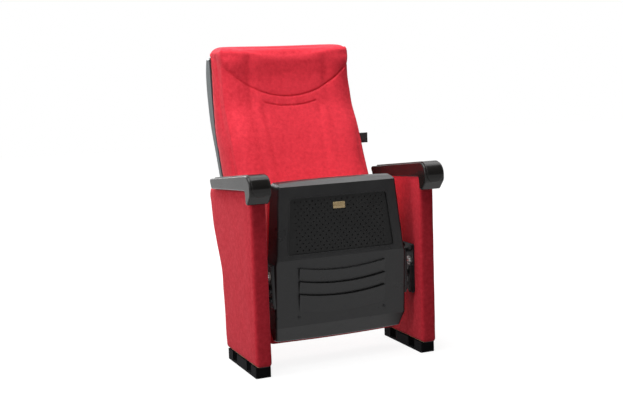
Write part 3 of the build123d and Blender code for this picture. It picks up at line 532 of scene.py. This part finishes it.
def addRelax(obj, turns, group=""):
    relax = obj.modifiers.new("relax", "SMOOTH")
    relax.iterations = turns
    relax.factor = meshSet["relaxShare"]
    relax.vertex_group = group


def remesh(obj, size):
    voxels = obj.modifiers.new("voxels", "REMESH")
    voxels.mode = "VOXEL"
    voxels.voxel_size = size
    addRelax(obj, meshSet["relaxTurns"])
    settle(obj)


def addWall(obj, thickness, offset):
    wall = obj.modifiers.new("wall", "SOLIDIFY")
    wall.thickness = thickness
    wall.offset = offset


def subdivide(obj):
    finer = obj.modifiers.new("finer", "SUBSURF")
    finer.levels = 1
    finer.render_levels = 1
    settle(obj)


def readMesh(obj):
    points, normals = np.zeros((2, len(obj.data.vertices) * 3))
    obj.data.vertices.foreach_get("co", points)
    obj.data.vertices.foreach_get("normal", normals)
    return points.reshape(-1, 3), normals.reshape(-1, 3)


def writePoints(obj, points):
    obj.data.vertices.foreach_set("co", points.ravel())
    obj.data.update()


def weigh(obj, name, weights, least=0.0):
    group = obj.vertex_groups.new(name=name)
    for index in np.flatnonzero(weights > least):
        group.add([int(index)], float(weights[index]), "REPLACE")


# stuffs a pad by cloth pressure; no point moves further than the cap
def puff(obj, held, s):
    before = readMesh(obj)[0]
    weigh(obj, "held", held)
    cloth = obj.modifiers.new("stuffing", "CLOTH")
    cloth.settings.quality = clothSet["quality"]
    cloth.settings.mass = clothSet["mass"]
    cloth.settings.tension_stiffness = clothSet["tension"]
    cloth.settings.compression_stiffness = clothSet["compression"]
    cloth.settings.bending_stiffness = clothSet["bending"]
    cloth.settings.use_pressure = True
    cloth.settings.uniform_pressure_force = s["pressure"]
    cloth.settings.vertex_group_mass = "held"
    cloth.settings.effector_weights.gravity = 0
    for step in range(clothSet["frames"]):
        scene.frame_set(step + 1)
    settle(obj)
    obj.vertex_groups.clear()
    scene.frame_set(1)
    moved = readMesh(obj)[0] - before
    far = np.maximum(np.linalg.norm(moved, axis=1), 1e-9)
    writePoints(obj, before + moved * np.minimum(1, s["cap"] / far)[:, None])


# 0 below the first height, 1 above the second
def smoothStep(value, low, high):
    t = np.clip((value - low) / (high - low), 0, 1)
    return t * t * (3 - 2 * t)


# 1 between the middle two heights, fading to 0 at the outer two
def band(value, start, full, fade, end):
    return smoothStep(value, start, full) * (1 - smoothStep(value, fade, end))


# a soft furrow: deepest where the distance is 0
def furrow(distance, width):
    return np.exp(-(distance / width) ** 2)


rippleStep = (7.3, 3.1, 5.7)  # moves the noise on for each seed


def ripple(points, scale, seed):
    shift = Vector([seed * step for step in rippleStep])
    return np.array([noise.noise(Vector(p) * scale + shift) for p in points])


def creases(points, s, seed):
    broad, fine = s["creaseScales"]
    return s["creases"] * (ripple(points, broad, seed) + s["creaseShare"] * ripple(points, fine, seed + 1))


def finishPad(obj, node, body):
    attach(obj, body)
    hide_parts(node)


# back cushion: headrest seam, small middle seam and two soft channels down the front
backSet = {
    "fill": 0.7,
    "voxel": 0.006,
    "pressure": 3.5,
    "cap": 0.006,
    "shrink": 0.002,
    "rearFacing": (0.05, 0.2),  # how far a surface faces the rear before the shell holds it
    "relaxTurns": 22,
    "relaxFacing": (0.4, 0.8),
    "relaxSide": (0.185, 0.215),
    "relaxHeight": (0.46, 0.52, 0.945, 0.975),
    "relaxLeast": 0.01,
    "frontFacing": (0.15, 0.6),
    "topFill": 0.010,
    "topFillHeight": (0.953, 0.982),
    "topDip": 0.003,
    "topDipHeight": (0.96, 0.99),
    "topDipHalf": 0.24,
    "topRadius": 0.038,  # of the two upper corners, seen from the front
    "topWidthAbove": 0.9,
    "topHeightBeyond": 0.16,
    "cornerTurn": (52, 17),  # degrees from the front where the side begins, and how wide
    "cornerFill": 0.0050,
    "cornerHeight": (0.45, 0.52),
    "cornerFlat": 0.7,
    "headSeam": {"half": 0.232, "ends": 0.935, "middle": 0.821, "groove": 0.0032, "valley": 0.0010},
    "lumbarSeam": {"half": 0.092, "ends": 0.803, "middle": 0.790, "groove": 0.0030, "valley": 0.0006},
    "seamPower": 2.15,
    "slopeStep": 0.0005,
    "grooveWidth": 0.0028,
    "valleyWidth": 0.012,
    "channelTop": (0.100, 0.790),
    "channelFoot": (0.088, 0.560),
    "channelFade": (0.05, 0.01, 0.015),  # round its foot, and below and above its top
    "channelDepth": 0.0022,
    "channelWidth": 0.010,
    "wing": 0.137,
    "wingDepth": 0.0064,
    "wingWidth": 0.017,
    "wingHeight": (0.78, 0.85, 0.94, 0.98),
    "wingLow": 0.45,
    "wingLowHeight": (0.48, 0.56, 0.80, 0.86),
    "wingRight": 0.7,  # the right-hand valley as a share of the left-hand one
    "creases": 0.0008,
    "creaseScales": (22, 48),
    "creaseShare": 0.6,
}


def seamHeight(x, seam):
    share = np.abs(x) / seam["half"]
    return seam["middle"] + (seam["ends"] - seam["middle"]) * share ** backSet["seamPower"]


def seamGap(x, z, seam):
    step = backSet["slopeStep"]
    slope = (seamHeight(np.abs(x) + step, seam) - seamHeight(np.abs(x), seam)) / step
    past = np.maximum(np.abs(x) - seam["half"], 0)
    return np.hypot((z - seamHeight(x, seam)) / np.hypot(1, slope), past)


def sewnDepth(x, z, s):
    depth = np.zeros(len(x))
    for seam in (s["headSeam"], s["lumbarSeam"]):
        gap = seamGap(x, z, seam)
        depth += seam["groove"] * furrow(gap, s["grooveWidth"])
        depth += seam["valley"] * furrow(gap, s["valleyWidth"])
    (topX, topZ), (footX, footZ) = s["channelTop"], s["channelFoot"]
    footFade, belowTop, aboveTop = s["channelFade"]
    line = footX + (topX - footX) * (z - footZ) / (topZ - footZ)
    reach = band(z, footZ - footFade, footZ + footFade, topZ - belowTop, topZ + aboveTop)
    depth += s["channelDepth"] * reach * furrow(np.abs(x) - line, s["channelWidth"])
    wing = band(z, *s["wingHeight"]) + s["wingLow"] * band(z, *s["wingLowHeight"])
    wing *= np.where(x < 0, 1, s["wingRight"])
    return depth + s["wingDepth"] * wing * furrow(np.abs(x) - s["wing"], s["wingWidth"])


def roundTop(points, s):
    radius = s["topRadius"]
    across, up = np.abs(points[:, 0]), points[:, 2]
    outX = np.maximum(across - across[up > s["topWidthAbove"]].max() + radius, 0)
    outZ = np.maximum(up - up[across > s["topHeightBeyond"]].max() + radius, 0)
    far = np.maximum(np.hypot(outX, outZ), 1e-9)
    excess = np.where((outX > 0) & (outZ > 0), np.maximum(1 - radius / far, 0), 0)
    points[:, 0] -= np.sign(points[:, 0]) * outX * excess
    points[:, 2] -= outZ * excess


def carveBack(obj, s):
    points, normals = readMesh(obj)
    x, z = points[:, 0], points[:, 2]
    front = smoothStep(-normals[:, 1], *s["frontFacing"])
    depth = sewnDepth(x, z, s) - s["topFill"] * smoothStep(z, *s["topFillHeight"]) + creases(points, s, 1)
    turn = np.degrees(np.arctan2(np.abs(normals[:, 0]), -normals[:, 1]))
    corner = furrow(turn - s["cornerTurn"][0], s["cornerTurn"][1]) * (np.abs(normals[:, 2]) < s["cornerFlat"])
    points += normals * (s["cornerFill"] * corner * smoothStep(z, *s["cornerHeight"]))[:, None]
    points[:, 1] += depth * front
    dip = s["topDip"] * smoothStep(z, *s["topDipHeight"]) * (1 - (x / s["topDipHalf"]) ** 2)
    points[:, 2] -= np.maximum(dip, 0)
    roundTop(points, s)
    writePoints(obj, points)


# evens out the front's middle, which the voxels leave bumpy
def relaxFront(obj, s):
    points, normals = readMesh(obj)
    weight = smoothStep(-normals[:, 1], *s["relaxFacing"]) * band(points[:, 2], *s["relaxHeight"])
    weight *= 1 - smoothStep(np.abs(points[:, 0]), *s["relaxSide"])
    weigh(obj, "relaxed", weight, s["relaxLeast"])
    addRelax(obj, s["relaxTurns"], "relaxed")
    settle(obj)
    obj.vertex_groups.clear()


def makeBackPad(s):
    obj = makeObject(mergedCopy("back_cushion"), "backPad")
    remesh(obj, s["voxel"])
    points, normals = readMesh(obj)
    writePoints(obj, points - normals * s["shrink"])
    puff(obj, smoothStep(normals[:, 1], *s["rearFacing"]), s)
    relaxFront(obj, s)
    subdivide(obj)
    carveBack(obj, s)
    return obj


backPad = makeBackPad(backSet)
print("back cushion:", len(backPad.data.polygons), "faces")

# seat cushion: crowned over the pan's rim, which holds its edge
seatSet = {
    "fill": 0.7,
    "voxel": 0.006,
    "pressure": 3.5,
    "cap": 0.006,
    "shrink": 0.002,
    "rim": (-0.036, -0.020),  # held before the first, free past the second
    "creases": 0.0007,
    "creaseScales": (20, 45),
    "creaseShare": 0.5,
}


def makeSeatPad(s):
    obj = makeObject(mergedCopy("seat_cushion"), "seatPad")
    remesh(obj, s["voxel"])
    points, normals = readMesh(obj)
    free = smoothStep(points[:, 1], *s["rim"])
    writePoints(obj, points - normals * (s["shrink"] * free)[:, None])
    puff(obj, 1 - free, s)
    subdivide(obj)
    points, normals = readMesh(obj)
    lift = creases(points, s, 3) * smoothStep(points[:, 1], *s["rim"])
    writePoints(obj, points + normals * lift[:, None])
    return obj


seatPad = makeSeatPad(seatSet)
print("seat cushion:", len(seatPad.data.polygons), "faces")

# side covers: velour pulled over thin foam round each standard, open at the foot
coverSet = {
    "fill": 0.3,
    "voxel": 0.0042,
    "wall": 0.0042,
    "openBelow": 0.0385,
    "openFacing": -0.85,
    "outerReach": 0.6,  # a face that sees the cover itself within this reach is an inner one
    "outerLift": 0.0003,
    "crown": 0.0016,
    "crownEdge": 0.055,
    "crownFacing": (0.5, 0.95),
    "creases": 0.0006,
    "creaseScale": 18,
    "bulge": 0.0045,
    "bulgePlace": (0.244, 0.521),
    "bulgeSize": 0.016,
}


def outerSkin(node, s):
    bm = mergedCopy(node)
    bmesh.ops.triangulate(bm, faces=bm.faces)
    tree = BVHTree.FromBMesh(bm)
    hidden = []
    for face in bm.faces:
        start = face.calc_center_median() + face.normal * s["outerLift"]
        if tree.ray_cast(start, face.normal, s["outerReach"])[0] is not None:
            hidden.append(face)
    bmesh.ops.delete(bm, geom=hidden, context="FACES")
    bmesh.ops.holes_fill(bm, edges=bm.edges, sides=0)
    bmesh.ops.triangulate(bm, faces=bm.faces)
    bmesh.ops.recalc_face_normals(bm, faces=bm.faces)
    return bm


def openFoot(obj, s):
    bm = bmesh.new()
    bm.from_mesh(obj.data)
    under = [face for face in bm.faces
             if face.normal.z < s["openFacing"] and face.calc_center_median().z < s["openBelow"]]
    bmesh.ops.delete(bm, geom=under, context="FACES")
    bm.to_mesh(obj.data)
    bm.free()


def makeCover(node, name, seed, s):
    obj = makeObject(outerSkin(node, s), name)
    remesh(obj, s["voxel"])
    points, normals = readMesh(obj)
    x, y, z = points.T
    fromEdge = np.minimum(np.minimum(y - y.min(), y.max() - y), np.minimum(z - z.min(), z.max() - z))
    crown = s["crown"] * smoothStep(fromEdge, 0.0, s["crownEdge"])
    crown *= smoothStep(np.abs(normals[:, 0]), *s["crownFacing"])
    outside = np.sign(x) == np.sign(normals[:, 0])
    lift = np.where(outside, crown, 0) + s["creases"] * ripple(points, s["creaseScale"], seed)
    points = points + normals * lift[:, None]
    bulgeY, bulgeZ = s["bulgePlace"]
    fromBulge = np.hypot(points[:, 1] - bulgeY, points[:, 2] - bulgeZ)
    points[:, 1] += s["bulge"] * furrow(fromBulge, s["bulgeSize"])
    writePoints(obj, points)
    openFoot(obj, s)
    addWall(obj, s["wall"], -1)
    settle(obj)
    return obj


for seed, side in ((5, "left"), (6, "right")):
    node = "side_cover_" + side
    cover = makeCover(node, side + "Cover", seed, coverSet)
    finishPad(cover, node, "chair")
    print(side, "cover:", len(cover.data.polygons), "faces")

finishPad(backPad, "back_cushion", "chair")
finishPad(seatPad, "seat_cushion", "seat")

# small tape tab folded into the right-hand seam of the back
tabSet = {
    "loop": 0.0011,
    "loopSteps": 6,
    "wall": 0.0005,
    "steps": 14,
    "rows": 12,
    "wave": 0.0004,
    "waveTurns": (60, 90),  # along and up
}


def makeTab(s):
    low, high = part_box("fabric_tab")
    middle = (low.y + high.y) / 2
    loop = s["loop"]
    reach = high.x - low.x - loop
    out = [low.x + reach * i / s["steps"] for i in range(s["steps"] + 1)]
    turns = [math.pi * i / s["loopSteps"] for i in range(1, s["loopSteps"])]
    path = [(x, middle - loop) for x in out]
    path += [(high.x - loop + loop * math.sin(a), middle - loop * math.cos(a)) for a in turns]
    path += [(x, middle + loop) for x in reversed(out)]
    along, up = s["waveTurns"]
    bm = bmesh.new()
    rows = []
    for row in range(s["rows"] + 1):
        z = low.z + (high.z - low.z) * row / s["rows"]
        rows.append([bm.verts.new((x, y + s["wave"] * math.sin(up * z + along * x), z)) for x, y in path])
    for first, second in zip(rows, rows[1:]):
        for i in range(len(path) - 1):
            bm.faces.new((first[i], first[i + 1], second[i + 1], second[i]))
    obj = makeObject(bm, "sideTab", "tab_dark")
    addWall(obj, s["wall"], 0)
    settle(obj, "tab_dark")
    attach(obj, "chair")
    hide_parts("fabric_tab")


makeTab(tabSet)
print("side tab ready")

# top stitching: short raised threads along a seam, laid by one Geometry Nodes tree
stitchSet = {
    "pitch": 0.0052,
    "length": 0.0036,
    "thread": 0.0009,
    "segments": 6,
    "rings": 5,
    "offset": 0.0052,  # from the seam
    "lift": 0.0003,
    "routeSteps": 120,
    "routeShare": 0.985,  # of the seam's length
    "castFrom": -0.4,
}


def makeStitchTree(s):
    tree = bpy.data.node_groups.new("stitchRow", "GeometryNodeTree")
    tree.interface.new_socket("Geometry", in_out="INPUT", socket_type="NodeSocketGeometry")
    for label in ("Pitch", "Length", "Thread"):
        tree.interface.new_socket(label, in_out="INPUT", socket_type="NodeSocketFloat")
    tree.interface.new_socket("Finish", in_out="INPUT", socket_type="NodeSocketMaterial")
    tree.interface.new_socket("Geometry", in_out="OUTPUT", socket_type="NodeSocketGeometry")
    given = addNode(tree, "NodeGroupInput").outputs
    curve = addNode(tree, "GeometryNodeMeshToCurve", {"Mesh": given["Geometry"]})
    even = addNode(tree, "GeometryNodeResampleCurve", {"Curve": curve.outputs[0], "Length": given["Pitch"]},
                   {"mode": "LENGTH"})
    ball = addNode(tree, "GeometryNodeMeshUVSphere",
                   {"Segments": s["segments"], "Rings": s["rings"], "Radius": 0.5})
    tangent = addNode(tree, "GeometryNodeInputTangent")
    turn = addNode(tree, "FunctionNodeAlignRotationToVector", {"Vector": tangent.outputs[0]}, {"axis": "Z"})
    size = addNode(tree, "ShaderNodeCombineXYZ",
                   {"X": given["Thread"], "Y": given["Thread"], "Z": given["Length"]})
    laid = addNode(tree, "GeometryNodeInstanceOnPoints", {
        "Points": even.outputs[0], "Instance": ball.outputs[0], "Rotation": turn.outputs[0],
        "Scale": size.outputs[0]})
    real = addNode(tree, "GeometryNodeRealizeInstances", {0: laid.outputs[0]})
    coated = addNode(tree, "GeometryNodeSetMaterial",
                     {"Geometry": real.outputs[0], "Material": given["Finish"]})
    addNode(tree, "NodeGroupOutput", {0: coated.outputs[0]})
    return tree


def seamRoute(surface, seam, shift, s):
    route = []
    steps = s["routeSteps"]
    for i in range(steps + 1):
        x = seam["half"] * s["routeShare"] * (2 * i / steps - 1)
        z = float(seamHeight(np.array(x), seam)) + shift
        hit, normal = surface.ray_cast(Vector((x, s["castFrom"], z)), Vector((0, 1, 0)))[:2]
        if hit is not None:
            route.append(hit + normal * s["lift"])
    return route


def makeStitches(name, body, routes, s):
    bm = bmesh.new()
    for route in routes:
        row = [bm.verts.new(p) for p in route]
        for first, second in zip(row, row[1:]):
            bm.edges.new((first, second))
    obj = makeObject(bm, name)
    tree = makeStitchTree(s)
    rows = obj.modifiers.new("rows", "NODES")
    rows.node_group = tree
    chosen = {"Pitch": s["pitch"], "Length": s["length"], "Thread": s["thread"],
              "Finish": finishes["fabric_red"]}
    for item in tree.interface.items_tree:
        if item.in_out == "INPUT" and item.name in chosen:
            rows[item.identifier] = chosen[item.name]
    settle(obj)
    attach(obj, body)
    return obj


# two rows along the headrest seam and one below the small middle seam
def stitchBack(s):
    mesh = backPad.data
    surface = BVHTree.FromPolygons([v.co for v in mesh.vertices], [p.vertices for p in mesh.polygons])
    routes = [seamRoute(surface, backSet[seam], shift, s) for seam, shift in (
        ("headSeam", s["offset"]), ("headSeam", -s["offset"]), ("lumbarSeam", -s["offset"]))]
    return makeStitches("backStitches", "chair", routes, s)


stitches = stitchBack(stitchSet)
print("stitches:", len(stitches.data.polygons), "faces")
